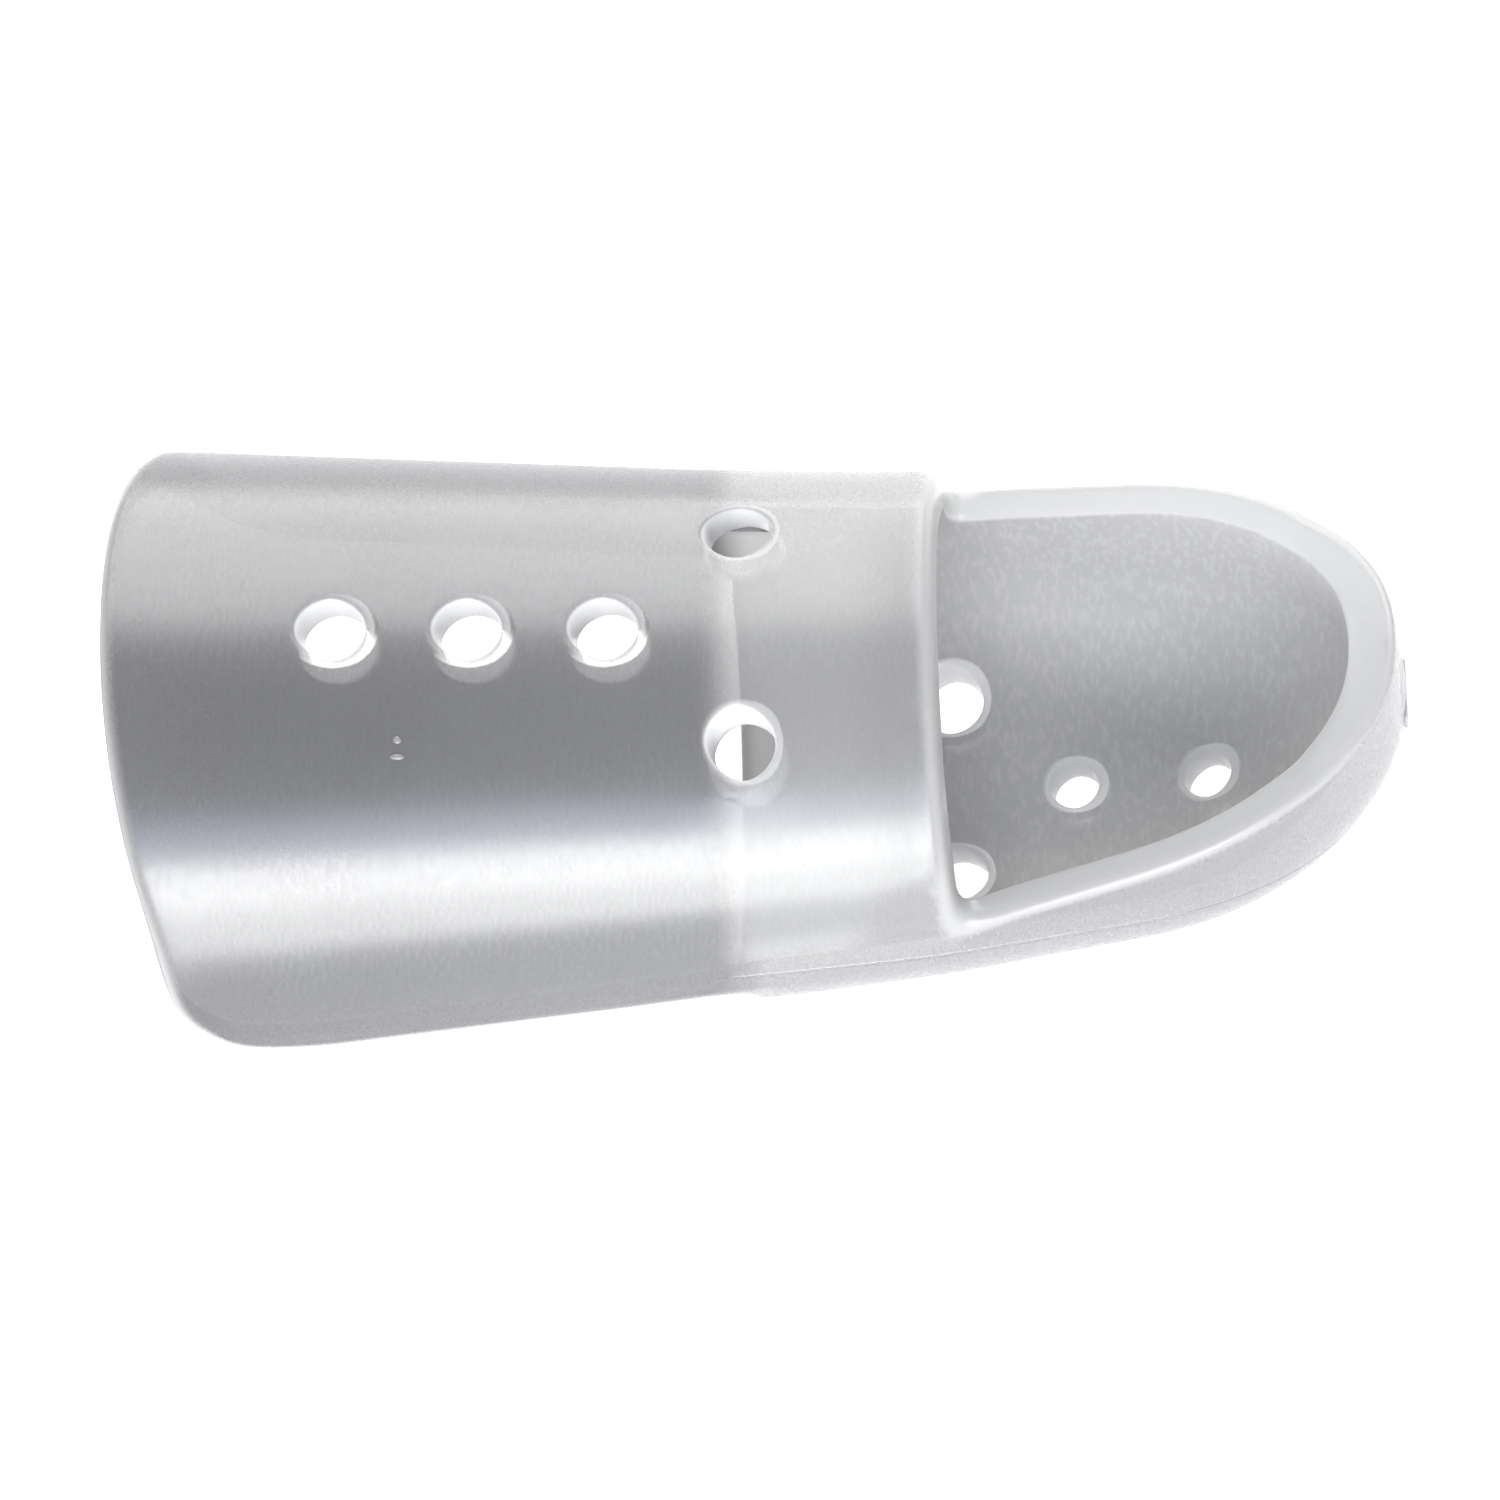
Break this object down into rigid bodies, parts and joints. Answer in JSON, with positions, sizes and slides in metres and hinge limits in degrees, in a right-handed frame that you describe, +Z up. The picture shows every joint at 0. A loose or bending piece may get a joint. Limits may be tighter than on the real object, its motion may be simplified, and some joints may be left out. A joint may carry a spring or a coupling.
{
  "type": "mallet finger splint",
  "caption": "One-piece clear plastic splint that holds a fingertip straight: half shell over the back, ring at the last joint, tray under the tip, air holes.",
  "frame": {"origin": "middle of the bounding box's underside, on the table it lies on", "axes": "+X from the wrist end towards the fingertip, +Y across the finger, +Z up, towards the back of the finger"},
  "size_m": [0.063, 0.0318, 0.0218],
  "materials": {
    "clear_plastic": "milky translucent, fine satin grain"
  },
  "bodies": {
    "root": {"splint_shell": "clear_plastic"}
  },
  "joints": []
}
